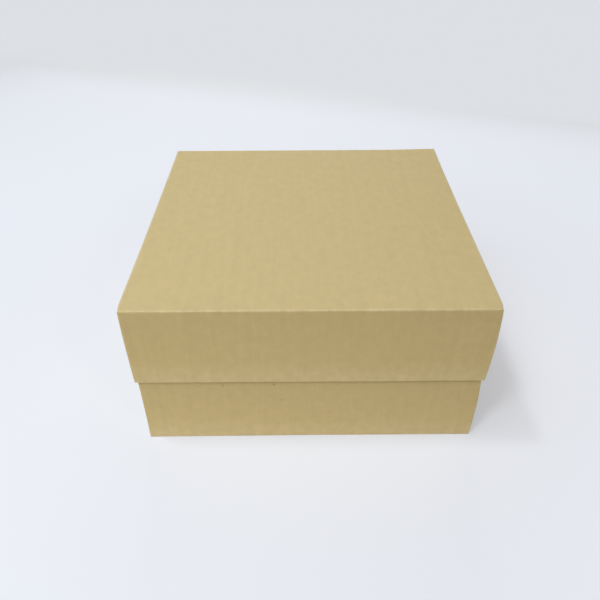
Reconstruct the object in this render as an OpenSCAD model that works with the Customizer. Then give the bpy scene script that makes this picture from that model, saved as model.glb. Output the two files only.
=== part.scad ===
// Set-up box with a lift-off lid: two greyboard trays, each taped at its corners, wrapped in
// kraft paper outside and lined with kraft paper inside. The lid is a shallower tray that is
// turned over the base and slides down it until its top rests on the base's rim.
// Millimetres. The origin is the centre of the base's underside, on the surface that it
// stands on. +X is to the right, +Y to the back and +Z up.

/* [Lid and base] */
// Outer width of the lid, across its side walls at the corners
lid_width = 250; // [150:1:400]
// Outer length of the lid, from front to back at the corners
lid_length = 250; // [150:1:400]
// Outer height of the lid, from its top face to its rim
lid_height = 65.5; // [45:0.5:110]
// Outer height of the base, from its underside to its rim
base_height = 124.3; // [115:0.1:260]
// Gap on each side between the lid's lining and the base at their tightest
lid_clearance = 0.2; // [0.1:0.05:1]

/* [Greyboard] */
// Thickness of the greyboard
board_t = 1; // [0.8:0.1:2]
// Depth of the half-cut score that lets the board fold
score_depth = 0.7; // [0.3:0.05:0.75]
// Gap left where two walls meet at a cut corner
corner_gap = 0.2; // [0.1:0.05:0.4]

/* [Corner stays] */
// Thickness of the gummed tape over each corner
stay_t = 0.1; // [0.06:0.01:0.2]
// Width of the tape on each side of its corner
stay_leg = 12; // [8:0.5:12.5]
// Distance from the tape's ends to the fold and to the rim
stay_margin = 3; // [2:0.5:6]

/* [Kraft wrap] */
// Thickness of the kraft wrapping paper
wrap_t = 0.12; // [0.1:0.01:0.25]
// How far the wrap turns in below the rim
turn_in = 20; // [12:1:30]
// How far the wrap's ears reach round a corner onto a side wall
ear_reach = 15; // [13.5:0.5:25]
// Distance from the ears' ends to the fold and to the rim
ear_margin = 1.5; // [1:0.1:1.8]
// Distance from the corner to the cut edge of the wrap's side panel
seam_inset = 0.8; // [0.5:0.1:2]

/* [Lining] */
// Thickness of the lining paper
lining_t = 0.1; // [0.08:0.01:0.2]
// Distance from the rim to the lining's upper edge
lining_inset = 6; // [3:0.5:10]

/* [Hidden] */
// Facets of a full circle in previews
$fn = 48;
// How far a cut runs past the faces that it opens
overrun = 1;

// Outer radius of the wrap where it bridges an opened score
fold_r = score_depth + wrap_t;
// Wrap, board and lining through a flat panel
panel_stack = wrap_t + board_t + lining_t;
// Board, turned-in wrap and lining, inwards from a wall's outer board face
wall_stack = board_t + wrap_t + lining_t;
// What lies outside a side wall's board at a corner: tape, an ear of the wrap and a panel of it
side_relief = stay_t + 2 * wrap_t;
// What lies outside a front or back wall's board at a corner: tape and a panel of the wrap
end_relief = stay_t + wrap_t;

// Board sizes, each inside what is outside it
lid_board_x = lid_width - 2 * side_relief;
lid_board_y = lid_length - 2 * end_relief;
base_board_x = lid_board_x - 2 * (wall_stack + lid_clearance + side_relief);
base_board_y = lid_board_y - 2 * (wall_stack + lid_clearance + end_relief);
// Height of the lid's top face, with its lining resting on the base's rim
lid_top = base_height + panel_stack;

kraft_colour = "#C6B185";
lining_colour = "#BFA778";
board_colour = "#9A958C";
tape_colour = "#B48E5C";

// Shared shapes. A tray opens upwards, and its wrap's underside is at zero.

// A block centred on the Z axis that stands on zero
module block(x, y, h) {
    translate([-x / 2, -y / 2, 0])
        cube([x, y, h]);
}

// A child drawn at the back right corner, moved to the corner on the given sides
module at_corner(side_x, side_y) {
    mirror([side_x < 0 ? 1 : 0, 0, 0])
        mirror([0, side_y < 0 ? 1 : 0, 0])
            children();
}

// The cut-away beside a rounded corner at the origin, whose circle's centre is up and to the right
module corner_cut(r) {
    difference() {
        translate([-overrun, -overrun])
            square([overrun + r, overrun + r]);
        translate([r, r])
            circle(r);
    }
}

// A section that stands on zero, with rounded lower and upper corners
module edge_section(width, height, r_low, r_high) {
    difference() {
        translate([-width / 2, 0])
            square([width, height]);
        for (flip = [0, 1])
            mirror([flip, 0])
                translate([-width / 2, 0]) {
                    if (r_low > 0)
                        corner_cut(r_low);
                    if (r_high > 0)
                        translate([0, height])
                            mirror([0, 1])
                                corner_cut(r_high);
                }
    }
}

// A section of an opening whose rim flares out round a turned edge of radius r
module flare_section(width, height, r) {
    translate([-width / 2, 0])
        square([width, height + overrun]);
    for (flip = [0, 1])
        mirror([flip, 0])
            translate([width / 2, height])
                difference() {
                    translate([-overrun, -r])
                        square([overrun + r, r + overrun]);
                    translate([r, -r])
                        circle(r);
                }
}

// The solid that two like sections share when one runs from front to back and one from side to side
module crossed(x, y) {
    intersection() {
        rotate([90, 0, 0])
            linear_extrude(y + 2 * overrun, center = true)
                children(0);
        rotate([90, 0, 90])
            linear_extrude(x + 2 * overrun, center = true)
                children(1);
    }
}

// A block with rounded folds below and a rounded rim above, mitred at its upright corners
module folded_block(x, y, h, r_low, r_high) {
    crossed(x, y) {
        edge_section(x, h, r_low, r_high);
        edge_section(y, h, r_low, r_high);
    }
}

// The space inside a turned rim, from zero up to the rim
module flared_opening(x, y, h, r) {
    crossed(x, y) {
        flare_section(x, h, r);
        flare_section(y, h, r);
    }
}

// A cross-shaped blank, scored half through, folded up and left open at its cut corners
module folded_board(x, y, h) {
    board_h = h - 2 * wrap_t;
    translate([0, 0, wrap_t])
        difference() {
            block(x, y, board_h);
            translate([0, 0, board_t])
                block(x - 2 * board_t, y - 2 * board_t, board_h);
            for (side = [-1, 1]) {
                translate([side * x / 2, 0, 0])
                    cube([2 * score_depth, y + 2 * overrun, 2 * score_depth], center = true);
                translate([0, side * y / 2, 0])
                    cube([x + 2 * overrun, 2 * score_depth, 2 * score_depth], center = true);
            }
            for (side_x = [-1, 1], side_y = [-1, 1])
                at_corner(side_x, side_y)
                    translate([x / 2 - board_t - corner_gap, y / 2 - board_t - corner_gap, board_t])
                        cube([board_t + corner_gap + overrun, corner_gap, board_h]);
        }
}

// Tape over the back right corner of a tray's board
module corner_stay(x, y, h) {
    low = fold_r + stay_margin;
    high = h - wrap_t - stay_margin;
    translate([x / 2, y / 2, low])
        difference() {
            translate([-stay_leg, -stay_leg, 0])
                cube([stay_leg + stay_t, stay_leg + stay_t, high - low]);
            translate([-stay_leg - overrun, -stay_leg - overrun, -overrun])
                cube([stay_leg + overrun, stay_leg + overrun, high - low + 2 * overrun]);
        }
}

// What the tape and the ears raise on the wrap round the back right corner
module corner_relief(x, y, h) {
    stay_low = fold_r + stay_margin - wrap_t;
    stay_high = h - stay_margin;
    ear_low = fold_r + ear_margin;
    ear_high = h - wrap_t - ear_margin;
    // the front or back panel over the tape, and its ear where it rounds the corner
    translate([x / 2 - stay_leg - wrap_t, y / 2 - stay_leg, stay_low])
        cube([stay_leg + stay_t + 2 * wrap_t, stay_leg + end_relief, stay_high - stay_low]);
    // the side panel over the ear and the tape
    translate([x / 2 - stay_leg, y / 2 - stay_leg - wrap_t, stay_low])
        cube([
            stay_leg + side_relief,
            stay_leg + wrap_t + end_relief - seam_inset,
            stay_high - stay_low
        ]);
    // the side panel over the ear alone
    translate([x / 2 - board_t, y / 2 - ear_reach - wrap_t, ear_low])
        cube([board_t + 2 * wrap_t, ear_reach + 2 * wrap_t - seam_inset, ear_high - ear_low]);
}

// Kraft sheet over a tray's outside, turned over the rim and pasted down inside it
module wrap_sheet(x, y, h) {
    opening_x = x - 2 * board_t;
    opening_y = y - 2 * board_t;
    difference() {
        union() {
            difference() {
                union() {
                    folded_block(x + 2 * wrap_t, y + 2 * wrap_t, h, fold_r, wrap_t);
                    for (side_x = [-1, 1], side_y = [-1, 1])
                        at_corner(side_x, side_y)
                            corner_relief(x, y, h);
                }
                translate([0, 0, wrap_t])
                    folded_block(x, y, h - 2 * wrap_t, score_depth, 0);
            }
            translate([0, 0, h - turn_in])
                block(opening_x, opening_y, turn_in - wrap_t / 2);
        }
        translate([0, 0, panel_stack])
            flared_opening(opening_x - 2 * wrap_t, opening_y - 2 * wrap_t, h - panel_stack, wrap_t);
        for (side_x = [-1, 1], side_y = [-1, 1])
            at_corner(side_x, side_y)
                corner_stay(x, y, h);
    }
}

// Kraft sheet over a tray's inside, from the panel up over the turned-in wrap
module lining_sheet(x, y, h) {
    floor_z = wrap_t + board_t;
    step_z = h - turn_in;
    lower_x = x - 2 * board_t;
    lower_y = y - 2 * board_t;
    upper_x = lower_x - 2 * wrap_t;
    upper_y = lower_y - 2 * wrap_t;
    difference() {
        union() {
            translate([0, 0, floor_z])
                block(lower_x, lower_y, step_z - floor_z);
            translate([0, 0, floor_z])
                block(upper_x, upper_y, h - lining_inset - floor_z);
        }
        translate([0, 0, floor_z + lining_t])
            block(lower_x - 2 * lining_t, lower_y - 2 * lining_t, step_z - floor_z - 2 * lining_t);
        translate([0, 0, floor_z + lining_t])
            block(upper_x - 2 * lining_t, upper_y - 2 * lining_t, h);
    }
}

// A tray turned over, with its top face at the height of the closed lid's
module turned_over() {
    translate([0, 0, lid_top])
        mirror([0, 0, 1])
            children();
}

// The base

module base_board() {
    color(board_colour)
        folded_board(base_board_x, base_board_y, base_height);
}

module base_wrap() {
    color(kraft_colour)
        wrap_sheet(base_board_x, base_board_y, base_height);
}

module base_lining() {
    color(lining_colour)
        lining_sheet(base_board_x, base_board_y, base_height);
}

module base_stay(side_x, side_y) {
    color(tape_colour)
        at_corner(side_x, side_y)
            corner_stay(base_board_x, base_board_y, base_height);
}

// The lid

module lid_board() {
    color(board_colour)
        turned_over()
            folded_board(lid_board_x, lid_board_y, lid_height);
}

module lid_wrap() {
    color(kraft_colour)
        turned_over()
            wrap_sheet(lid_board_x, lid_board_y, lid_height);
}

module lid_lining() {
    color(lining_colour)
        turned_over()
            lining_sheet(lid_board_x, lid_board_y, lid_height);
}

module lid_stay(side_x, side_y) {
    color(tape_colour)
        turned_over()
            at_corner(side_x, side_y)
                corner_stay(lid_board_x, lid_board_y, lid_height);
}

base_board();
base_wrap();
base_lining();
base_stay(-1, -1);  // base_stay_front_left
base_stay(1, -1);  // base_stay_front_right
base_stay(-1, 1);  // base_stay_back_left
base_stay(1, 1);  // base_stay_back_right
lid_board();
lid_wrap();
lid_lining();
lid_stay(-1, -1);  // lid_stay_front_left
lid_stay(1, -1);  // lid_stay_front_right
lid_stay(-1, 1);  // lid_stay_back_left
lid_stay(1, 1);  // lid_stay_back_right
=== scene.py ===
"""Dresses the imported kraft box: two folded sheets of kraft paper over taped greyboard, on a pale floor."""

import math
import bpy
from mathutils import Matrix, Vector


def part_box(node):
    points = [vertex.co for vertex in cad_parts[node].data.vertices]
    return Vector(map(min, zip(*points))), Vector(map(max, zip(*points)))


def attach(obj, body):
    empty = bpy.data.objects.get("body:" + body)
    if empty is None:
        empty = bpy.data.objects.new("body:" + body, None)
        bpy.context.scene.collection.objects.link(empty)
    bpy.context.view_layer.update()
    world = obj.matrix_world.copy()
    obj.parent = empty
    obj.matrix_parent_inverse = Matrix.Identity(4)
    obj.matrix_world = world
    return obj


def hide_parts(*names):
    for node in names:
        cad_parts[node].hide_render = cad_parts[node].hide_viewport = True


bl_info = {
    "name": "Kraft Box",
    "version": (1, 0, 0),
    "blender": (4, 5, 0),
    "location": "View3D > Sidebar > Kraft Box",
    "description": "Folds the kraft wrap of a lidded set-up box and finishes its board, tape and lining",
    "category": "Add Mesh",
}

from functools import partial

import bmesh
import bpy
import numpy as np
from bpy.props import FloatProperty, FloatVectorProperty, IntProperty, PointerProperty
from mathutils import Matrix, Vector

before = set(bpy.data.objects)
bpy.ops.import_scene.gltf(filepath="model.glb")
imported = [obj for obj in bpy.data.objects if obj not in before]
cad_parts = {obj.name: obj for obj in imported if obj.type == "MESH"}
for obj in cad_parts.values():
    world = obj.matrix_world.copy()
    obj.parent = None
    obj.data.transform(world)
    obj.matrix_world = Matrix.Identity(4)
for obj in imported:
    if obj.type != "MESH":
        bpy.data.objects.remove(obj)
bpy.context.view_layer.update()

MM = 0.001
QUARTER = math.pi / 2
SHEET_UV = "Sheet"
# what each point of a flat sheet carries for its folding rule and its material
SHEET_VALUES = ("flap", "corner_line", "lift", "outside", "crease", "handled")
# a fold line that no point of a sheet reaches, in metres
NO_FOLD = 10.0
# how far in from a wall the panel beside it moves along with it
PANEL_DEPTH = 30 * MM
# kinks along the lid's front fold: how far to the right and how wide in mm, and how deep
FOLD_KINKS = ((-94, 4, 1.0), (-78, 3, 0.8), (48, 6, 0.7), (16, 3, 0.4))
# small dark spots on the base's front: the middle and the radii in mm, and how dark each is
BASE_DARK_SPOTS = (
    ((-62.8, -123.6, 54.8), (0.8, 4, 2.4), 0.3), ((-25.8, -123.6, 55.6), (0.9, 4, 1.0), 0.5),
    ((-20.3, -123.8, 39.4), (2.2, 4, 0.8), 0.25),
)
# how far below the lid's rim the painted shadow line on the base starts
RIM_SHADOW_DROP = 3.1 * MM
# between these values lies most of a noise
NOISE_SPAN = (0.3, 0.7)
# for each lamp, its direction round from the right and its height in degrees, and its width in metres
LAMPS = {
    "key": (186, 73, 0.12), "fill": (240, 10, 0.6), "above": (212, 66, 0.8), "back": (90, 30, 0.8),
    "left": (236, 59, 0.22), "right": (304, 41, 0.2), "side": (12, 14, 0.6),
}
# how far from the origin the lamps hang, and the point that they are turned to
LAMP_REACH = 1.5
LAMP_AIM = Vector((0, 0, 0.06))
SENSOR_WIDTH = 36


def linear(hex_colour):
    """An sRGB hex colour as linear red, green and blue."""
    channels = [int(hex_colour[i : i + 2], 16) / 255 for i in (1, 3, 5)]
    return tuple(c / 12.92 if c <= 0.04045 else ((c + 0.055) / 1.055) ** 2.4 for c in channels)


def length(name, description, millimetres):
    """The settings that every length shares."""
    return FloatProperty(
        name=name, description=description, default=millimetres * MM, min=0, precision=5, subtype="DISTANCE",
        unit="LENGTH",
    )


def angle(name, description, degrees):
    """The settings that every angle shares."""
    return FloatProperty(
        name=name, description=description, default=math.radians(degrees), subtype="ANGLE", unit="ROTATION"
    )


def power(name, description, watts):
    """The settings that every lamp's power shares."""
    return FloatProperty(name=name, description=description, default=watts, min=0, unit="POWER")


def share(name, description, default):
    """The settings that every share from 0 to 1 has in common."""
    return FloatProperty(name=name, description=description, default=default, min=0, max=1)


def colour(name, description, hex_colour):
    """The settings that every colour shares."""
    return FloatVectorProperty(
        name=name, description=description, default=linear(hex_colour), min=0, max=1, size=3, subtype="COLOR"
    )


class KraftBoxSizes(bpy.types.PropertyGroup):
    board_t: length("Board", "Thickness of the greyboard", 1)
    wrap_t: length("Wrap paper", "Thickness of the kraft wrapping paper", 0.12)
    tape_t: length("Tape", "Thickness of the gummed tape over each corner", 0.1)
    tape_leg: length("Tape leg", "Width of the tape on each side of its corner", 12)
    tape_margin: length("Tape margin", "Distance from the tape's ends to the fold and to the rim", 3)
    fold_r: length("Fold radius", "Outer radius of the paper where it bridges a score", 0.95)
    rim_r: length("Rim radius", "Outer radius of the paper where it turns over the board's edge", 0.38)
    corner_r: length("Corner radius", "Outer radius of the paper round an upright corner", 0.38)
    turn_in: length("Turn-in", "How far the wrap turns in below the rim", 20)
    ear_reach: length("Ear reach", "How far the wrap's ears reach round a corner", 15)
    ear_margin: length("Ear margin", "Distance from the ears' ends to the fold and to the rim", 1.5)
    seam_inset: length("Seam inset", "Distance from the corner to the cut edge of a side panel", 0.8)
    # painted light: how wide the paler band is at the lid's rim and the base's foot
    painted_light_band: length("Rubbed edge", "Width of the band rubbed pale at the lid's rim and the base's foot", 22)
    mesh_step: length("Mesh step", "Distance between the sheet's rows of points", 3.4)


class KraftBoxWear(bpy.types.PropertyGroup):
    ripple: length("Ripple", "Height of the paste's ripples under the wrap", 0.05)
    ripple_size: length("Ripple size", "Distance from one ripple to the next", 34)
    lid_bulge: length("Lid corner bulge", "How far the lid's right front corner stands out", 1.15)
    base_bulge: length("Base corner bulge", "How far the base's right front corner stands out", 1.2)
    top_spread: length("Top spread", "How far the lid's top has spread past its board at the right", 1.0)
    corner_curl: length("Corner curl", "How far the lid's right back corner is drawn up", 0.8)
    corner_gap: length("Corner gap", "How far the base's paper stands off its taped corners", 0.06)
    fold_kink: length("Fold kinks", "Depth of the kinks along the lid's front fold", 0.22)
    rim_flare: length("Rim flare", "How far the lid's walls flare out at the rim", 0.15)
    foot_flare: length("Foot flare", "How far the base's walls flare out at the foot", 1.5)
    rim_sag: length("Rim sag", "How far the lid's rim wanders from a straight line", 0.2)
    seed: IntProperty(name="Seed", description="Chooses the pattern of ripples and kinks", default=4, min=0)


class KraftBoxColours(bpy.types.PropertyGroup):
    kraft: colour("Kraft", "The wrap's unbleached kraft paper", "#C7B482")
    # painted shade: the base's paper is drawn a little darker than the lid's, for the shade below the lid
    base_kraft_shaded: colour("Base kraft", "The base's kraft paper, from a slightly darker reel", "#C2AF7E")
    kraft_dark: colour("Kraft fibres", "Bark and lignin flecks in the kraft paper", "#8E7449")
    # the pale kraft of worn folds, also the colour of the painted highlight on the folds and of the painted
    # light at the low ends
    kraft_worn_and_lit: colour("Worn kraft", "Kraft paper rubbed pale along its folds", "#DCCDA8")
    lining: colour("Lining", "The thinner kraft paper inside", "#BFA778")
    board: colour("Greyboard", "The board's pulp of mixed waste paper", "#9A958C")
    tape: colour("Gummed tape", "The corners' brown paper tape", "#B48E5C")
    floor: colour("Floor", "The seamless paper under the box", "#EDEFF1")
    floor_glow: colour("Floor glow", "The plain white that pales the floor's shadows to the eye", "#EDF1FB")
    backdrop: colour("Backdrop", "The pale wall far behind the box", "#DDE0E4")
    key: colour("Key tint", "The tint of the high lamp", "#F2F7FF")
    fill: colour("Fill tint", "The tint of the low softbox", "#FFF8E7")
    above: colour("Upper tint", "The tint of the softbox above the front left", "#ECF4FF")
    back: colour("Back tint", "The tint of the lamp behind", "#FFF6E4")
    left: colour("Left tint", "The tint of the small lamp at the front left", "#F6F9FF")
    right: colour("Right tint", "The tint of the small lamp at the front right", "#FFDDAF")
    side: colour("Side tint", "The tint of the softbox at the right side", "#FFF3DF")
    room_floor: colour("Room floor", "What lies beyond the seamless paper, as it lights the box", "#56524C")


class KraftBoxStage(bpy.types.PropertyGroup):
    lens: FloatProperty(
        name="Lens", description="Focal length of the camera on a 36 mm sensor", default=34.57, min=1,
        subtype="DISTANCE_CAMERA",
    )
    camera_at: FloatVectorProperty(
        name="Camera place", description="Where the camera stands", default=(-0.0074, -0.412, 0.3602),
        size=3, subtype="TRANSLATION", unit="LENGTH",
    )
    camera_down: angle("Camera pitch", "How far the camera looks down", 38.2)
    camera_yaw: angle("Camera yaw", "How far the camera turns to the right", 0.147)
    camera_roll: angle("Camera roll", "How far the camera tips", -0.27)
    white_reach: length("White reach", "How far from the box's middle the white sheet reaches", 240)
    floor_glow: share("Floor glow", "The glow's share in what the camera sees of the floor by the box", 0.46)
    far_glow: share("Far glow", "The glow's share farther from the box", 0.72)
    key: power("Key lamp", "Power of the high lamp at the left", 4.6)
    fill: power("Fill lamp", "Power of the low softbox at the front left", 7.7)
    above: power("Upper lamp", "Power of the softbox above the front left", 7.1)
    back: power("Back lamp", "Power of the softbox behind the box", 7.5)
    left: power("Left lamp", "Power of the small lamp at the front left", 5.85)
    right: power("Right lamp", "Power of the small lamp at the front right", 1.8)
    side: power("Side lamp", "Power of the low softbox that opens up the shaded right side", 2.1)


class KraftBoxSettings(bpy.types.PropertyGroup):
    sizes: PointerProperty(type=KraftBoxSizes)
    wear: PointerProperty(type=KraftBoxWear)
    colours: PointerProperty(type=KraftBoxColours)
    stage: PointerProperty(type=KraftBoxStage)


def add_object(name, data):
    """Puts a new object, with its mesh, lamp or camera, in the scene."""
    made = bpy.data.objects.new(name, data)
    bpy.context.scene.collection.objects.link(made)
    return made


def add_node(tree, kind, inputs=None, **settings):
    """Adds a node with its settings. An input is a value, or another node's output to link."""
    made = tree.nodes.new(kind)
    for name, value in settings.items():
        setattr(made, name, value)
    for key, value in (inputs or {}).items():
        if isinstance(value, bpy.types.NodeSocket):
            tree.links.new(value, made.inputs[key])
        else:
            made.inputs[key].default_value = value
    return made


def node_maths(tree, operation, *values):
    """The result of a maths node. A value may be another node's output, here and below."""
    return add_node(tree, "ShaderNodeMath", dict(enumerate(values)), operation=operation).outputs[0]


def node_vectors(tree, operation, *values):
    """The result of a vector maths node, which is a number for a length or a dot product."""
    result = "Value" if operation in ("LENGTH", "DOT_PRODUCT") else "Vector"
    made = add_node(tree, "ShaderNodeVectorMath", dict(enumerate(values)), operation=operation)
    return made.outputs[result]


# The kraft sheet


def smooth(x):
    """Eases from 0 to 1."""
    x = np.clip(x, 0, 1)
    return x * x * (3 - 2 * x)


def spaced(low, high, step):
    """Even steps from low to high, at most step apart."""
    return np.linspace(low, high, max(2, math.ceil((high - low) / step) + 1))


def divided(start, reach, steps):
    """A reach from a start, divided into steps."""
    return start + reach * np.arange(steps + 1) / steps


class SheetPlan:
    """Where the folds and cuts of one tray's blank lie. Across runs from the sheet's middle out over a
    panel's fold and rim, and along runs beside the fold. A tray is planned as it stands open. A way is 0 from
    side to side and 1 from front to back."""

    # distances from a corner, and from a fold or a rim, at which points lie closer together
    FROM_CORNER = MM * np.array(
        [0, 0.5, 1, 2, 4, 6, 8, 10, 11, 11.6, 12.2, 12.8, 13.6, 14.4, 15, 15.6, 16.4, 18]
    )
    FROM_FOLD = np.array([0.4, 0.8, 1.5, 2.2, 3, 3.8, 5, 7]) * MM
    # the gap from the last of those to the evenly spaced points, and the step below the rim inside
    MIDDLE_GAP = 3 * MM
    INSIDE_STEP = 5 * MM
    # steps round a fold, round each edge of the rim, round an upright corner and along an ear
    FOLD_STEPS, RIM_STEPS, CORNER_STEPS, EAR_STEPS = 6, 4, 5, 6

    def __init__(self, sizes, half_x, half_y, height, turned_over):
        s = sizes
        self.sizes = s
        self.turned_over = turned_over
        self.half = (half_x, half_y)
        self.rim_w = s.board_t + 2 * s.wrap_t
        self.fold_arc = s.fold_r * QUARTER
        self.rim_arc = s.rim_r * QUARTER
        self.corner_arc = s.corner_r * QUARTER
        self.wall = height - s.rim_r - s.fold_r

    def fold_line(self, way):
        return self.half[way] + self.sizes.wrap_t - self.sizes.fold_r

    def rim_line(self, way):
        return self.fold_line(way) + self.fold_arc + self.wall

    def inner_line(self, way):
        return self.rim_line(way) + self.rim_arc + self.rim_w - 2 * self.sizes.rim_r

    def corner_line(self, way):
        return self.half[way] + self.sizes.wrap_t - self.sizes.corner_r

    def centre_columns(self, way):
        """Points along a fold, closer together where the tape and the ears end."""
        edge = self.fold_line(way)
        near_end = edge - self.FROM_CORNER
        middle_end = near_end[-1] - self.MIDDLE_GAP
        middle = spaced(-middle_end, middle_end, self.sizes.mesh_step)
        return np.concatenate([-near_end, middle, near_end[::-1]])

    def columns(self, way, across_way):
        """The centre's points along a fold, with those of the corner and the ear beyond them."""
        s = self.sizes
        edge = self.fold_line(way)
        corner = self.corner_line(way)
        outer = [*divided(edge, s.fold_r, 4)[1:4]]
        if across_way == 1:
            outer += [*divided(corner, self.corner_arc, self.CORNER_STEPS)]
            ear_end = corner + self.corner_arc + s.ear_reach - s.corner_r
            outer += [*np.linspace(corner + self.corner_arc, ear_end, self.EAR_STEPS + 1)[1:]]
        else:
            outer += [edge + s.fold_r, edge + s.fold_r + s.tape_t]
        least_gap = 0.02 * MM
        outer = np.unique(np.round(np.array([v for v in outer if v > edge + least_gap]), 7))
        return np.concatenate([-outer[::-1], self.centre_columns(way), outer])

    def rows(self, way):
        """Points outwards from the fold, over the rim and down inside."""
        s = self.sizes
        fold = divided(self.fold_line(way), self.fold_arc, self.FOLD_STEPS)
        wall_low, wall_high = fold[-1], self.rim_line(way)
        near_low, near_high = wall_low + self.FROM_FOLD, wall_high - self.FROM_FOLD
        middle = spaced(near_low[-1] + self.MIDDLE_GAP, near_high[-1] - self.MIDDLE_GAP, s.mesh_step)
        rim = divided(wall_high, self.rim_arc, self.RIM_STEPS)
        inner = divided(self.inner_line(way), self.rim_arc, self.RIM_STEPS)
        inside = spaced(inner[-1], inner[-1] + s.turn_in - s.rim_r, self.INSIDE_STEP)[1:]
        return np.concatenate([fold, near_low, middle, near_high[::-1], rim, inner, inside])

    def limit(self, across, way, along_way):
        """How far the sheet reaches along its fold at a distance across it: the cut line of the blank."""
        s = self.sizes
        past = across - self.fold_line(way)
        corner = self.half[along_way] + s.wrap_t
        if past <= self.fold_arc:
            return self.fold_line(along_way) + s.fold_r * math.sin(past / s.fold_r)
        up = past - self.fold_arc
        down = self.rim_line(way) - across
        if down > 0:
            near_end = min(up, down)
            if way == 1:
                taper = 0.3 * s.ear_reach
                reach = min(1, max(0, (near_end - s.ear_margin) / taper))
                bare = self.corner_line(along_way) + s.corner_r
                return bare + reach * (self.corner_arc + s.ear_reach - 2 * s.corner_r)
            inset = min(1, near_end / s.ear_margin)
            return corner + inset * (s.tape_t - s.seam_inset)
        over = -down
        if over <= self.rim_arc:
            return corner - s.rim_r * (1 - math.cos(over / s.rim_r))
        over -= self.rim_arc
        flat = self.rim_w - 2 * s.rim_r
        if over <= flat:
            return corner - s.rim_r - over
        over -= flat
        inner_corner = corner - self.rim_w
        if over <= self.rim_arc:
            return inner_corner + s.rim_r * (1 - math.sin(over / s.rim_r))
        narrowing = 0.1  # so that the turned-in edges clear each other in the corners
        return inner_corner - narrowing * (over - self.rim_arc)

    def lift(self, across, along, way, along_way):
        """How far the tape and the ear under the paper raise it. The paper starts to rise just short of their
        ends, over a short ramp."""
        s = self.sizes
        side_ramp = 0.9 * MM
        up = across - self.fold_line(way) - self.fold_arc
        from_end = min(up, self.rim_line(way) - across)
        from_corner = self.half[along_way] - abs(along)
        ends = smooth((from_end - s.tape_margin + 1 * MM) / (1.2 * MM))
        tape = s.tape_t * smooth((s.tape_leg + side_ramp - from_corner) / side_ramp) * ends
        if way == 1:
            return tape
        ear_ends = smooth((from_end - s.ear_margin + 0.6 * MM) / (1 * MM))
        return tape + s.wrap_t * smooth((s.ear_reach + side_ramp - from_corner) / side_ramp) * ear_ends

    def crease(self, across, along, way, along_way):
        """How near a point is to a fold, the rim or an upright corner, from 0 to 1."""
        reach = 1.1 * MM
        start = self.fold_line(way)
        gaps = [max(start - across, across - start - self.fold_arc, 0)]
        corner = self.corner_line(along_way)
        if start + self.fold_arc < across < self.rim_line(way):
            gaps.append(max(corner - abs(along), abs(along) - corner - self.corner_arc, 0))
        return float(1 - smooth(min(gaps) / reach))

    def handled(self, across, way):
        """How near a point of the outside is to the tray's low end, which is painted paler as painted light,
        from 0 to 1.
        """
        gap = self.rim_line(way) - across if self.turned_over else across - self.fold_line(way)
        return float(1 - smooth(gap / self.sizes.painted_light_band)) if gap > -self.sizes.fold_r else 0.0


def add_grid(shape, layers, table):
    """Faces between neighbouring points of a table, outside face down."""
    verts = []
    for line in table:
        verts.append([])
        for place, values in line:
            vert = shape.verts.new((*place, 0))
            for key, value in values.items():
                vert[layers[key]] = value
            verts[-1].append(vert)
    for low, high in zip(verts, verts[1:]):
        for corners in zip(low, high, high[1:], low[1:]):
            face = shape.faces.new(corners)
            face.normal_update()
            if face.normal.z > 0:
                face.normal_flip()


def middle_points(plan):
    """The points of the blank's middle, which lies flat against the board."""
    table = []
    for x in plan.centre_columns(0):
        line = []
        for y in plan.centre_columns(1):
            crease = max(plan.crease(abs(x), y, 0, 1), plan.crease(abs(y), x, 1, 0))
            values = dict(flap=0, corner_line=NO_FOLD, lift=0, outside=1, crease=crease, handled=0)
            line.append(((x, y), values))
        table.append(line)
    return table


def panel_points(plan, way, side):
    """The points of one panel, from its fold to its turned-in edge. The front and back panels end in ears,
    which are bent but for a little beside the fold and the rim."""
    along_way = 1 - way
    flat_end = 0.3 * MM
    columns = plan.columns(along_way, way)
    table = []
    for across in plan.rows(way):
        limit = plan.limit(across, way, along_way)
        up = across - plan.fold_line(way) - plan.fold_arc
        down = plan.rim_line(way) - across
        bent = way == 1 and min(up, down) > flat_end
        line = []
        for column in columns:
            along = math.copysign(min(abs(column), limit), column)
            values = {
                "flap": way,
                "corner_line": plan.corner_line(along_way) if bent else NO_FOLD,
                "lift": plan.lift(across, along, way, along_way),
                "outside": 1 if down > -plan.rim_arc / 2 else 0,
                "crease": plan.crease(across, along, way, along_way),
                "handled": plan.handled(across, way),
            }
            place = (side * across, along) if way == 0 else (along, side * across)
            line.append((place, values))
        table.append(line)
    return table


def sheet_blank(name, plan):
    """The flat die-cut sheet, outside face down, with what its folding rule reads on each point."""
    shape = bmesh.new()
    layers = {key: shape.verts.layers.float.new(key) for key in SHEET_VALUES}
    add_grid(shape, layers, middle_points(plan))
    for way in (0, 1):
        for side in (-1, 1):
            add_grid(shape, layers, panel_points(plan, way, side))

    same_point = 0.002 * MM
    bmesh.ops.remove_doubles(shape, verts=shape.verts, dist=same_point)
    bmesh.ops.dissolve_degenerate(shape, edges=shape.edges, dist=same_point / 2)
    uv = shape.loops.layers.uv.new(SHEET_UV)
    for face in shape.faces:
        for loop in face.loops:
            loop[uv].uv = (loop.vert.co.x, loop.vert.co.y)
    mesh = bpy.data.meshes.new(name)
    shape.to_mesh(mesh)
    shape.free()
    return add_object(name, mesh)


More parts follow.
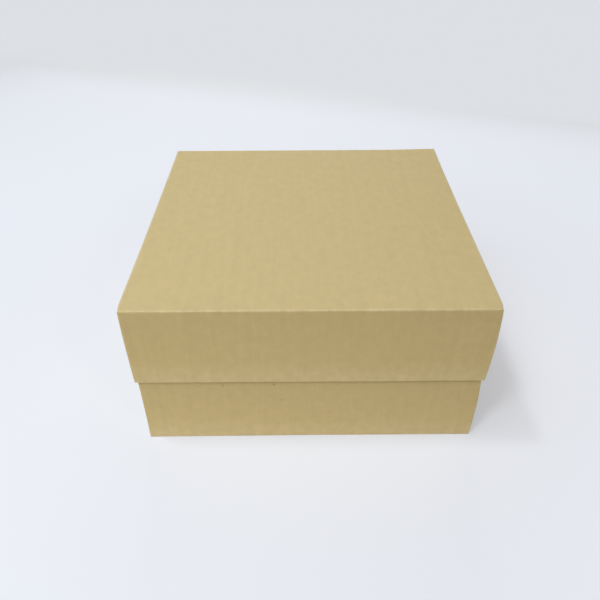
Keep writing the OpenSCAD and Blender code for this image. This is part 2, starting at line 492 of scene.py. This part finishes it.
def fold_rule():
    """A node group that bends paper a quarter turn round one line. Height is measured towards the inside."""
    tree = bpy.data.node_groups.new("Quarter fold", "GeometryNodeTree")
    for name in ("Distance", "Height", "Line", "Radius"):
        tree.interface.new_socket(name, in_out="INPUT", socket_type="NodeSocketFloat")
    for name in ("Distance", "Height"):
        tree.interface.new_socket(name, in_out="OUTPUT", socket_type="NodeSocketFloat")
    given = add_node(tree, "NodeGroupInput")
    distance, height, line, radius = (given.outputs[i] for i in range(4))
    maths = partial(node_maths, tree)
    past = maths("MAXIMUM", maths("SUBTRACT", distance, line), 0.0)
    bend = maths("MINIMUM", maths("DIVIDE", past, radius), QUARTER)
    beyond = maths("MAXIMUM", maths("SUBTRACT", past, maths("MULTIPLY", radius, QUARTER)), 0.0)
    arm = maths("SUBTRACT", radius, height)
    before = maths("MINIMUM", distance, line)
    folded_distance = maths("ADD", before, maths("MULTIPLY", arm, maths("SINE", bend)))
    drop = maths("MULTIPLY", arm, maths("COSINE", bend))
    folded_height = maths("ADD", maths("SUBTRACT", radius, drop), beyond)
    add_node(tree, "NodeGroupOutput", {0: folded_distance, 1: folded_height})
    return tree


def folding_tree():
    """The rule that folds a blank into a tray's wrap: ears, then the turn-in over the rim, then the walls."""
    quarter_fold = fold_rule()
    tree = bpy.data.node_groups.new("Fold the wrap", "GeometryNodeTree")
    tree.interface.new_socket("Blank", in_out="INPUT", socket_type="NodeSocketGeometry")
    lengths = (
        "Half width", "Half length", "Height", "Fold radius", "Rim radius", "Corner radius",
        "Board thickness", "Paper thickness", "Ripple height", "Ripple size",
    )
    for name in lengths:
        socket = tree.interface.new_socket(name, in_out="INPUT", socket_type="NodeSocketFloat")
        socket.subtype = "DISTANCE"
    tree.interface.new_socket("Seed", in_out="INPUT", socket_type="NodeSocketInt")
    tree.interface.new_socket("Paper", in_out="INPUT", socket_type="NodeSocketMaterial")
    tree.interface.new_socket("Wrap", in_out="OUTPUT", socket_type="NodeSocketGeometry")
    given = add_node(tree, "NodeGroupInput")
    size = {name: given.outputs[name] for name in lengths}

    maths = partial(node_maths, tree)

    def stored(name):
        made = add_node(tree, "GeometryNodeInputNamedAttribute", {"Name": name}, data_type="FLOAT")
        return made.outputs["Attribute"]

    def choose(for_side, for_front):
        """The side panels' value where flap is 0, and the front and back panels' where it is 1."""
        inputs = {0: flap, 2: for_side, 3: for_front}
        return add_node(tree, "ShaderNodeMix", inputs, data_type="FLOAT").outputs[0]

    def fold(distance, height, line, radius):
        inputs = dict(enumerate((distance, height, line, radius)))
        return add_node(tree, "GeometryNodeGroup", inputs, node_tree=quarter_fold).outputs[:2]

    flap = stored("flap")
    place = add_node(tree, "GeometryNodeInputPosition").outputs[0]
    flat = add_node(tree, "ShaderNodeSeparateXYZ", {0: place})
    x, y = flat.outputs[0], flat.outputs[1]
    across = choose(maths("ABSOLUTE", x), maths("ABSOLUTE", y))
    along = choose(maths("ABSOLUTE", y), maths("ABSOLUTE", x))

    # the paste leaves the paper very slightly rippled
    scale = {0: place, "Scale": maths("DIVIDE", 1.0, size["Ripple size"])}
    at = add_node(tree, "ShaderNodeVectorMath", scale, operation="SCALE").outputs[0]
    waves = {"Vector": at, "W": given.outputs["Seed"], "Scale": 1.0, "Detail": 2.0, "Roughness": 0.45}
    ripple = add_node(tree, "ShaderNodeTexNoise", waves, noise_dimensions="4D").outputs[0]
    ripple = maths("MULTIPLY", maths("MULTIPLY", maths("SUBTRACT", ripple, 0.5), 2.0), size["Ripple height"])
    calm = maths("MULTIPLY", stored("outside"), maths("SUBTRACT", 1.0, stored("crease")))
    height = maths("SUBTRACT", maths("MULTIPLY", ripple, calm), stored("lift"))

    half = choose(size["Half width"], size["Half length"])
    fold_line = maths("SUBTRACT", maths("ADD", half, size["Paper thickness"]), size["Fold radius"])
    straight = maths("SUBTRACT", maths("SUBTRACT", size["Height"], size["Rim radius"]), size["Fold radius"])
    fold_arc = maths("MULTIPLY", size["Fold radius"], QUARTER)
    rim_line = maths("ADD", maths("ADD", fold_line, fold_arc), straight)
    rim_width = maths("ADD", size["Board thickness"], maths("MULTIPLY", size["Paper thickness"], 2.0))
    rim_flat = maths("SUBTRACT", rim_width, maths("MULTIPLY", size["Rim radius"], 2.0))
    rim_arc = maths("MULTIPLY", size["Rim radius"], QUARTER)
    inner_line = maths("ADD", maths("ADD", rim_line, rim_arc), rim_flat)

    along, height = fold(along, height, stored("corner_line"), size["Corner radius"])
    across, height = fold(across, height, inner_line, size["Rim radius"])
    across, height = fold(across, height, rim_line, size["Rim radius"])
    across, height = fold(across, height, fold_line, size["Fold radius"])
    folded_x = maths("MULTIPLY", choose(across, along), maths("SIGN", x))
    folded_y = maths("MULTIPLY", choose(along, across), maths("SIGN", y))
    folded = add_node(tree, "ShaderNodeCombineXYZ", {0: folded_x, 1: folded_y, 2: height}).outputs[0]

    moved = add_node(tree, "GeometryNodeSetPosition", {"Geometry": given.outputs["Blank"], "Position": folded})
    whole = add_node(tree, "GeometryNodeRealizeInstances", {0: moved.outputs[0]})
    finish = {"Geometry": whole.outputs[0], "Material": given.outputs["Paper"]}
    finished = add_node(tree, "GeometryNodeSetMaterial", finish)
    add_node(tree, "NodeGroupOutput", {0: finished.outputs[0]})
    return tree


def folded_wrap(name, board, wrap, turned_over, paper, tree, sizes, wear):
    """Folds one tray's blank round the board and gives it the paper's thickness."""
    (low, high), (wrap_low, wrap_high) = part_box(board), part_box(wrap)
    half_x, half_y = (high.x - low.x) / 2, (high.y - low.y) / 2
    height = wrap_high.z - wrap_low.z
    plan = SheetPlan(sizes, half_x, half_y, height, turned_over)
    blank = sheet_blank(name + "_blank", plan)

    values = {
        "Half width": half_x, "Half length": half_y, "Height": height,
        "Fold radius": sizes.fold_r, "Rim radius": sizes.rim_r, "Corner radius": sizes.corner_r,
        "Board thickness": sizes.board_t, "Paper thickness": sizes.wrap_t,
        "Ripple height": wear.ripple, "Ripple size": wear.ripple_size,
        "Seed": wear.seed + turned_over, "Paper": paper,
    }
    folding = blank.modifiers.new("Fold", "NODES")
    folding.node_group = tree
    for item in tree.interface.items_tree:
        if item.in_out == "INPUT" and item.name in values:
            folding[item.identifier] = values[item.name]
    caliper = blank.modifiers.new("Paper thickness", "SOLIDIFY")
    caliper.thickness = sizes.wrap_t
    caliper.offset = -1

    view = bpy.context.evaluated_depsgraph_get()
    folded = blank.evaluated_get(view)
    mesh = bpy.data.meshes.new_from_object(folded, preserve_all_data_layers=True, depsgraph=view)
    mesh.name = name
    bpy.data.objects.remove(blank)
    if turned_over:
        mesh.transform(Matrix.Translation((0, 0, wrap_high.z)) @ Matrix.Rotation(math.pi, 4, "X"))
    else:
        mesh.transform(Matrix.Translation((0, 0, wrap_low.z)))
    return add_object(name, mesh)


def points_of(mesh):
    """A mesh's points as a table, whose x, y and z the wear changes in place."""
    co = np.empty(len(mesh.vertices) * 3)
    mesh.vertices.foreach_get("co", co)
    return co.reshape(-1, 3)


def stored_values(mesh, name):
    """One of the values that the blank's points carry."""
    values = np.empty(len(mesh.vertices))
    mesh.attributes[name].data.foreach_get("value", values)
    return values


def wander(x, seed, waves):
    """A gentle irregular line along x, from about -1 to 1. Waves holds wavelengths in mm."""
    rng = np.random.default_rng(seed)
    total = np.zeros_like(x)
    for wavelength in waves:
        total += np.sin(2 * math.pi * x / (wavelength * MM) + rng.uniform(0, 2 * math.pi))
    return total / len(waves)


def hump(distance, reach):
    """1 at a line, fading on both sides of it."""
    return np.exp(-((distance / reach) ** 2))


def near(distance, reach):
    """1 up to a line, fading past it."""
    return hump(np.maximum(distance, 0), reach)


def beside(place, edge, depth):
    """1 at an edge on either side of the middle, easing to 0 at a depth in from it."""
    return smooth(1 - (edge - np.abs(place)) / depth)


def flare(x, y, z, outside, low, high, amount, reach, left_end=1.0):
    """Moves the front and back walls outwards near a tray's low end, most at the end itself. Left_end is how
    much of the amount the left corners get."""
    half = (high - low) / 2
    end = np.clip(1 - (z - low.z) / reach, 0, 1) ** 2
    end *= 1 + (left_end - 1) * np.clip(-x / half.x, 0, 1)
    y += np.sign(y) * amount * end * beside(y, half.y, PANEL_DEPTH) * outside


def wear_lid(mesh, wear, low, high):
    """Gives the lid's wrap the shape that use has left it with. Each change moves the points for the next."""
    co = points_of(mesh)
    x, y, z = co.T
    outside = stored_values(mesh, "outside")
    flare(x, y, z, outside, low, high, wear.rim_flare, reach=35 * MM)
    up = (z - low.z) / (high.z - low.z)
    from_right, from_front = high.x - x, y - low.y

    # the front corners stand out at mid-height: the right one most, and a little forwards too
    forwards, at_left = 0.25, 0.3
    swell = wear.lid_bulge * np.sin(math.pi * np.clip(up, 0, 1)) ** 0.8 * outside
    right_corner = near(from_right, 28 * MM) * near(from_front, 45 * MM)
    x += swell * right_corner
    y -= forwards * swell * right_corner
    x -= at_left * swell * near(x - low.x, 20 * MM) * near(from_front, 30 * MM)

    # the top has spread past its board, more to the back at the right, and less in the middle at the left
    along = y / high.y
    to_right = 1 + 0.85 * ((along + 1) / 2) ** 3
    to_left = 0.4 + 0.45 * along ** 2
    out = np.where(x > 0, to_right, to_left) * smooth(up) * smooth(from_front / (8 * MM))
    x += np.sign(x) * wear.top_spread * out * beside(x, high.x, PANEL_DEPTH) * outside

    # its right back corner is drawn up, and with it the wall's top fifth
    curl = near(from_right, 30 * MM) * near(high.y - y, 30 * MM)
    z += wear.corner_curl * curl * smooth((up - 0.8) / 0.2) * outside

    # kinks where the front fold was pressed, none so deep that the board shows
    fold_reach, mean_kink, least_kink = 1.6 * MM, 0.5, -0.4
    at_fold = hump(high.z - z, fold_reach) * hump(from_front, fold_reach)
    kinks = 0.35 * wander(x, wear.seed, (21, 34, 52, 87))
    for place, width, depth in FOLD_KINKS:
        kinks -= depth * hump(x - place * MM, width * MM)
    kinks = wear.fold_kink * np.maximum(kinks + mean_kink, least_kink) * at_fold
    y -= kinks
    z += 0.6 * kinks

    # the front rim sags a little, most at its middle and at one dent near the left
    dent, dent_width, most_raised = -93 * MM, 6 * MM, 0.3
    at_rim = smooth(1 - up / 0.25)
    sag = 0.5 * wander(x, wear.seed + 1, (38, 61, 130)) - 0.3 * (1 - (x / high.x) ** 2)
    sag -= 0.6 * hump(x - dent, dent_width)
    z += wear.rim_sag * np.minimum(sag, most_raised) * at_rim * hump(from_front, 4 * MM)
    mesh.vertices.foreach_set("co", co.ravel())


def wear_base(mesh, wear, low, high, lid_rim):
    """Gives the base's wrap the shape that use has left it with, below the lid's rim."""
    co = points_of(mesh)
    x, y, z = co.T
    outside = stored_values(mesh, "outside")
    flare(x, y, z, outside, low, high, wear.foot_flare, reach=50 * MM, left_end=1.35)

    # the right front corner stands out, most at mid-height and at the foot
    up = np.clip((z - low.z) / (lid_rim - low.z), 0, 1)
    swell = np.sin(math.pi * up) * (1 + 0.4 * up) + 0.7 * (1 - up) ** 2
    right_corner = near(high.x - x, 25 * MM) * near(y - low.y, 40 * MM)
    x += wear.base_bulge * swell * right_corner * outside

    # the paper stands off a little where it turns over the taped corners
    depth = 4 * MM
    at_corner = beside(x, high.x, depth) * beside(y, high.y, depth) * outside
    x += np.sign(x) * wear.corner_gap * at_corner
    y += np.sign(y) * wear.corner_gap * at_corner
    mesh.vertices.foreach_set("co", co.ravel())


def shade_folded(mesh):
    """Smooth over the rounded folds and sharp at the paper's cut edges."""
    sharp_from = math.radians(48)
    mesh.polygons.foreach_set("use_smooth", [True] * len(mesh.polygons))
    mesh.set_sharp_from_angle(angle=sharp_from)
    mesh.update()


# Materials


def new_material(name, surface):
    """A node material with its tree and its shader, which has the surface's values."""
    material = bpy.data.materials.new(name)
    material.use_nodes = True
    tree = material.node_tree
    tree.nodes.clear()
    shader = add_node(tree, "ShaderNodeBsdfPrincipled", surface)
    add_node(tree, "ShaderNodeOutputMaterial", {"Surface": shader.outputs[0]})
    return material, tree, shader


def paper_grain(tree, coordinate, across_mm, along_mm, detail=2.0, roughness=0.55):
    """Noise in millimetres on the sheet: across_mm wide and along_mm long, along the machine direction."""
    scale = (1 / (across_mm * MM), 1 / (along_mm * MM), 1 / (across_mm * MM))
    mapped = add_node(tree, "ShaderNodeMapping", {"Vector": coordinate, "Scale": scale})
    return add_node(
        tree, "ShaderNodeTexNoise",
        {"Vector": mapped.outputs[0], "Scale": 1.0, "Detail": detail, "Roughness": roughness},
    ).outputs[0]


def spread(tree, value, low, high, to_low, to_high, easing="LINEAR"):
    """Moves a span of values onto another."""
    span = {"Value": value, 1: low, 2: high, 3: to_low, 4: to_high}
    return add_node(tree, "ShaderNodeMapRange", span, interpolation_type=easing).outputs[0]


def vary(tree, noise, to_low, to_high):
    """Moves the usual span of a noise onto another."""
    return spread(tree, noise, *NOISE_SPAN, to_low, to_high)


def blend_colour(tree, amount, first, second, blend_type="MIX"):
    """Two colours mixed, by the second one's amount. A colour is a value or another node's output."""
    inputs = {0: amount}
    for key, value in ((6, first), (7, second)):
        inputs[key] = value if isinstance(value, bpy.types.NodeSocket) else (*value, 1)
    return add_node(tree, "ShaderNodeMix", inputs, data_type="RGBA", blend_type=blend_type).outputs[2]


def toned(tree, flat, tone):
    """A colour made darker or paler by a tone near 1."""
    shade = add_node(tree, "ShaderNodeCombineColor", {0: tone, 1: tone, 2: tone}).outputs[0]
    return blend_colour(tree, 1.0, flat, shade, "MULTIPLY")


def dark_spot(tree, place, middle, radii, dark):
    """How dark a small soft spot is, with its middle and its radii in mm."""
    away = node_vectors(tree, "SUBTRACT", place, Vector(middle) * MM)
    away = node_vectors(tree, "LENGTH", node_vectors(tree, "DIVIDE", away, Vector(radii) * MM))
    return spread(tree, away, 0.6, 1.3, dark, 0)


def painted_rim_shadow(tree, place, height):
    """How dark a soft painted shadow line is, which starts at a height and fades upwards."""
    dark = 0.28
    at = add_node(tree, "ShaderNodeSeparateXYZ", {0: place}).outputs["Z"]
    rising = spread(tree, at, height, height + 1 * MM, 0, dark)
    fading = spread(tree, at, height + 2 * MM, height + 9 * MM, dark, 0)
    return node_maths(tree, "MINIMUM", rising, fading)


def kraft_paper(colours, name, base, on_sheet, fold_wear_and_highlight=(0.1, 0.35), dark_spots=(), rim_line=None):
    """Machine-finished kraft paper: unbleached pulp with bark flecks and long streaks from the wire. On a
    wrap's sheet it is paler at its folds, partly from wear and partly as a painted highlight, and paler near
    the tray's low end as painted light. It is matt, with only a trace of sheen from its calendered fibres. A
    soft painted shadow line, the shade under the lid's rim, has its lower edge at the height rim_line on the
    piece."""
    surface = {"Roughness": 0.78, "IOR": 1.5, "Specular IOR Level": 0.32}
    material, tree, shader = new_material(name, surface)
    maths = partial(node_maths, tree)
    place = add_node(tree, "ShaderNodeTexCoord").outputs["Object"]
    at = add_node(tree, "ShaderNodeUVMap", uv_map=SHEET_UV).outputs[0] if on_sheet else place

    cloud = paper_grain(tree, at, 7, 9)
    streak = paper_grain(tree, at, 0.9, 26)
    wide_streak = paper_grain(tree, at, 4.5, 90)
    fibre = paper_grain(tree, at, 0.45, 1.1, 3.0, 0.7)
    # real flecks are 0.1 mm wide, and these are drawn 0.5 mm wide so that they show, at a noise's peaks
    fleck = paper_grain(tree, at, 0.55, 1.6, 1.0)
    fleck_peaks, fleck_dark = (0.66, 0.8), 0.4

    tone = vary(tree, cloud, 0.97, 1.03)
    for grain, contrast in ((streak, 0.015), (wide_streak, 0.015), (fibre, 0.04)):
        tone = maths("MULTIPLY", tone, vary(tree, grain, 1 - contrast, 1 + contrast))
    dark = spread(tree, fleck, *fleck_peaks, 0.0, fleck_dark)
    for middle, radii, spot_dark in dark_spots:
        dark = maths("MAXIMUM", dark, dark_spot(tree, place, middle, radii, spot_dark))
    # painted shadow: a soft dark line just below where the lid's rim rests
    if rim_line:
        dark = maths("MAXIMUM", dark, painted_rim_shadow(tree, place, rim_line))
    paper = blend_colour(tree, dark, base, colours.kraft_dark)
    if on_sheet:
        # paler along the folds: partly wear, partly a painted highlight
        crease = add_node(tree, "ShaderNodeAttribute", attribute_name="crease").outputs["Fac"]
        worn_and_highlit = maths("MULTIPLY", crease, spread(tree, wide_streak, 0.35, 0.65, *fold_wear_and_highlight))
        # painted light: paler near the lid's rim and the base's foot
        handled = add_node(tree, "ShaderNodeAttribute", attribute_name="handled").outputs["Fac"]
        painted_light_band = maths("MULTIPLY", handled, vary(tree, cloud, 0.16, 0.3))
        paper = blend_colour(tree, maths("MAXIMUM", worn_and_highlit, painted_light_band), paper, colours.kraft_worn_and_lit)
    tree.links.new(toned(tree, paper, tone), shader.inputs["Base Color"])

    bump = add_node(tree, "ShaderNodeBump", {"Strength": 0.35, "Distance": 0.03 * MM, "Height": fibre})
    streaks = {"Strength": 0.3, "Distance": 0.06 * MM, "Height": streak, "Normal": bump.outputs[0]}
    tree.links.new(add_node(tree, "ShaderNodeBump", streaks).outputs[0], shader.inputs["Normal"])
    return material


def greyboard(colours):
    """Greyboard: pressed pulp of mixed waste paper, with darker and paler fibres and a rough matt face."""
    surface = {"Roughness": 0.92, "Specular IOR Level": 0.25}
    material, tree, shader = new_material("Greyboard pressed pulp", surface)
    at = add_node(tree, "ShaderNodeTexCoord").outputs["Object"]
    pulp = paper_grain(tree, at, 1.6, 1.6, 4.0, 0.65)
    fibre = paper_grain(tree, at, 0.3, 0.9, 2.0)
    board = toned(tree, colours.board, vary(tree, pulp, 0.86, 1.12))
    tree.links.new(board, shader.inputs["Base Color"])
    bump = add_node(tree, "ShaderNodeBump", {"Strength": 0.6, "Distance": 0.08 * MM, "Height": fibre})
    tree.links.new(bump.outputs[0], shader.inputs["Normal"])
    return material


def gummed_tape(colours):
    """Gummed kraft tape: smooth brown paper, a little glossier than the wrap, as its glue soaked through."""
    material, tree, shader = new_material("Gummed kraft tape", {"Roughness": 0.6})
    at = add_node(tree, "ShaderNodeTexCoord").outputs["Object"]
    width, run = 0.8 * MM, 14 * MM
    stretched = add_node(tree, "ShaderNodeMapping", {"Vector": at, "Scale": (1 / width, 1 / width, 1 / run)})
    streaks = {"Vector": stretched.outputs[0], "Scale": 1.0, "Detail": 2.0}
    lines = add_node(tree, "ShaderNodeTexNoise", streaks).outputs[0]
    tape = toned(tree, colours.tape, vary(tree, lines, 0.92, 1.06))
    tree.links.new(tape, shader.inputs["Base Color"])
    bump = add_node(tree, "ShaderNodeBump", {"Strength": 0.3, "Distance": 0.03 * MM, "Height": lines})
    tree.links.new(bump.outputs[0], shader.inputs["Normal"])
    return material


def seen_directly(tree):
    """1 for rays that show a surface, straight or in gloss or glass, and 0 for those that light one."""
    path = add_node(tree, "ShaderNodeLightPath")
    seen = path.outputs["Is Camera Ray"]
    for ray in ("Is Glossy Ray", "Is Transmission Ray"):
        seen = node_maths(tree, "MAXIMUM", seen, path.outputs[ray])
    return seen


def backdrop_paper(stage, colours):
    """Seamless background paper: smooth, matt and nearly white. It throws less light on the box from beyond
    its reach, where the real sheet ends, and still looks white there. A plain glow pales its shadows to the
    eye."""
    surface = {"Roughness": 0.9, "Specular IOR Level": 0.1}
    material, tree, shader = new_material("Seamless white paper", surface)
    maths = partial(node_maths, tree)
    eased = partial(spread, tree, easing="SMOOTHSTEP")
    at = add_node(tree, "ShaderNodeTexCoord").outputs["Object"]
    distance = node_vectors(tree, "LENGTH", at)
    beyond = eased(distance, stage.white_reach, 2 * stage.white_reach, 0, 1)
    seen = seen_directly(tree)
    dark = maths("MULTIPLY", beyond, maths("SUBTRACT", 1.0, seen))
    paper = blend_colour(tree, dark, colours.floor, colours.room_floor)
    tree.links.new(paper, shader.inputs["Base Color"])

    # the floor turns plainly into the wall far from the box, and sooner along the sweep behind it
    sweep, floor_ends, sweep_ends, glow_grows = (0.35, 1, 0), (0.8, 1.2), (0.53, 0.74), (0.15, 0.45)
    behind = node_vectors(tree, "DOT_PRODUCT", at, sweep)
    far = maths("MAXIMUM", eased(distance, *floor_ends, 0, 1), eased(behind, *sweep_ends, 0, 1))
    pale = blend_colour(tree, far, colours.floor_glow, colours.backdrop)
    glow = add_node(tree, "ShaderNodeEmission", {"Color": pale}).outputs[0]
    amount = maths("MAXIMUM", far, eased(distance, *glow_grows, stage.floor_glow, stage.far_glow))
    amount = maths("MULTIPLY", seen, amount)
    mixed = add_node(tree, "ShaderNodeMixShader", {0: amount, 1: shader.outputs[0], 2: glow}).outputs[0]
    tree.links.new(mixed, tree.nodes["Material Output"].inputs["Surface"])
    return material


def pale_room(colours):
    """The room gives no light of its own. Beyond the floor the camera sees it as a plain pale wall."""
    world = bpy.data.worlds.new("Pale room")
    world.use_nodes = True
    tree = world.node_tree
    tree.nodes.clear()
    wall = {"Color": (*colours.backdrop, 1), "Strength": seen_directly(tree)}
    add_node(tree, "ShaderNodeOutputWorld", {0: add_node(tree, "ShaderNodeBackground", wall).outputs[0]})
    return world


# Operators


def finish_nodes(names, material):
    """Puts a material on CAD nodes, whose shape stays as it is."""
    for name in names:
        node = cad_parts[name]
        for held in node.material_slots:
            held.link = "OBJECT"
            held.material = material


class FoldWraps(bpy.types.Operator):
    """Folds the kraft wraps of the lid and the base"""

    bl_idname = "kraft_box.fold_wraps"
    bl_label = "Fold the wraps"

    def execute(self, context):
        box = context.scene.kraft_box
        lid_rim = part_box("lid_wrap")[0].z
        papers = {
            "lid": kraft_paper(box.colours, "Kraft wrapping paper", box.colours.kraft, on_sheet=True),
            # the base's paper: darker as painted shade, with a painted shadow line below the lid's rim
            "base": kraft_paper(
                box.colours, "Kraft wrapping paper, darker reel", box.colours.base_kraft_shaded, on_sheet=True,
                fold_wear_and_highlight=(0, 0.1), dark_spots=BASE_DARK_SPOTS, rim_line=lid_rim - RIM_SHADOW_DROP,
            ),
        }
        tree = folding_tree()
        for body, turned_over in (("lid", True), ("base", False)):
            wrap = body + "_wrap"
            piece = folded_wrap(
                wrap + "_sheet", body + "_board", wrap, turned_over, papers[body], tree, box.sizes, box.wear
            )
            if body == "lid":
                wear_lid(piece.data, box.wear, *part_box(wrap))
            else:
                wear_base(piece.data, box.wear, *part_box(wrap), lid_rim)
            shade_folded(piece.data)
            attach(piece, body)
            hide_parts(wrap)
        return {"FINISHED"}


class LineTrays(bpy.types.Operator):
    """Gives the linings their thinner kraft paper"""

    bl_idname = "kraft_box.line_trays"
    bl_label = "Line the trays"

    def execute(self, context):
        colours = context.scene.kraft_box.colours
        paper = kraft_paper(colours, "Kraft lining paper", colours.lining, on_sheet=False)
        finish_nodes(("lid_lining", "base_lining"), paper)
        return {"FINISHED"}


class FinishBoards(bpy.types.Operator):
    """Gives the boards their pressed pulp"""

    bl_idname = "kraft_box.finish_boards"
    bl_label = "Finish the boards"

    def execute(self, context):
        finish_nodes(("lid_board", "base_board"), greyboard(context.scene.kraft_box.colours))
        return {"FINISHED"}


class TapeCorners(bpy.types.Operator):
    """Gives the corner tapes their gummed paper"""

    bl_idname = "kraft_box.tape_corners"
    bl_label = "Tape the corners"

    def execute(self, context):
        tapes = [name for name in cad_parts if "_stay_" in name]
        finish_nodes(tapes, gummed_tape(context.scene.kraft_box.colours))
        return {"FINISHED"}


def lay_floor(box):
    """Lays the floor just under the base, clear of the ripples in its underside."""
    half, top = 6.0, -0.1 * MM
    mesh = bpy.data.meshes.new("floor")
    corners = [(-half, -half, top), (half, -half, top), (half, half, top), (-half, half, top)]
    mesh.from_pydata(corners, [], [(0, 1, 2, 3)])
    mesh.materials.append(backdrop_paper(box.stage, box.colours))
    floor = add_object("floor", mesh)


def hang_lamps(box):
    """Hangs the lamps round the box, all at one distance and turned to its middle."""
    for name, (around, height, width) in LAMPS.items():
        lamp = bpy.data.lights.new(name, "AREA")
        lamp.energy = getattr(box.stage, name)
        lamp.color = getattr(box.colours, name)
        lamp.size = width
        around, height = math.radians(around), math.radians(height)
        level = math.cos(height)
        place = LAMP_REACH * Vector((math.cos(around) * level, math.sin(around) * level, math.sin(height)))
        holder = add_object(name + "_lamp", lamp)
        holder.location = place
        holder.rotation_euler = (LAMP_AIM - place).to_track_quat("-Z", "Y").to_euler()
        holder.visible_camera = False


def place_camera(stage):
    """Places the camera and turns it by its yaw, its pitch and its roll."""
    camera = bpy.data.cameras.new("camera")
    camera.sensor_width = SENSOR_WIDTH
    camera.lens = stage.lens
    camera.clip_start = 0.01
    yaw, down, roll = stage.camera_yaw, stage.camera_down, stage.camera_roll
    forward = Vector((math.sin(yaw) * math.cos(down), math.cos(yaw) * math.cos(down), -math.sin(down)))
    level = Vector((math.cos(yaw), -math.sin(yaw), 0))
    upward = level.cross(forward)
    right = math.cos(roll) * level + math.sin(roll) * upward
    upward = math.cos(roll) * upward - math.sin(roll) * level
    turned = Matrix((right, upward, -forward)).transposed().to_4x4()
    viewer = add_object("camera", camera)
    viewer.matrix_world = Matrix.Translation(stage.camera_at) @ turned
    return viewer


class SetStage(bpy.types.Operator):
    """Makes the floor, the lamps and the camera"""

    bl_idname = "kraft_box.set_stage"
    bl_label = "Set the stage"

    def execute(self, context):
        scene = context.scene
        box = scene.kraft_box
        scene.view_settings.view_transform = "Standard"
        scene.world = pale_room(box.colours)
        lay_floor(box)
        hang_lamps(box)
        scene.camera = place_camera(box.stage)
        return {"FINISHED"}


STEPS = (FoldWraps, LineTrays, FinishBoards, TapeCorners, SetStage)


class KraftBoxPanel(bpy.types.Panel):
    """Lists the steps and settings of the kraft box"""

    bl_idname = "VIEW3D_PT_kraft_box"
    bl_label = "Kraft Box"
    bl_space_type = "VIEW_3D"
    bl_region_type = "UI"
    bl_category = "Kraft Box"

    def draw(self, context):
        for step in STEPS:
            self.layout.operator(step.bl_idname)
        box = context.scene.kraft_box
        for group in (box.sizes, box.wear, box.colours, box.stage):
            part = self.layout.box()
            for key in group.__annotations__:
                part.prop(group, key)


CLASSES = (
    KraftBoxSizes, KraftBoxWear, KraftBoxColours, KraftBoxStage, KraftBoxSettings, *STEPS, KraftBoxPanel
)


def register():
    for cls in CLASSES:
        bpy.utils.register_class(cls)
    bpy.types.Scene.kraft_box = PointerProperty(type=KraftBoxSettings)


def unregister():
    del bpy.types.Scene.kraft_box
    for cls in reversed(CLASSES):
        bpy.utils.unregister_class(cls)


def main():
    register()
    bpy.ops.kraft_box.fold_wraps()
    bpy.ops.kraft_box.line_trays()
    bpy.ops.kraft_box.finish_boards()
    bpy.ops.kraft_box.tape_corners()
    bpy.ops.kraft_box.set_stage()


if __name__ == "__main__":
    main()
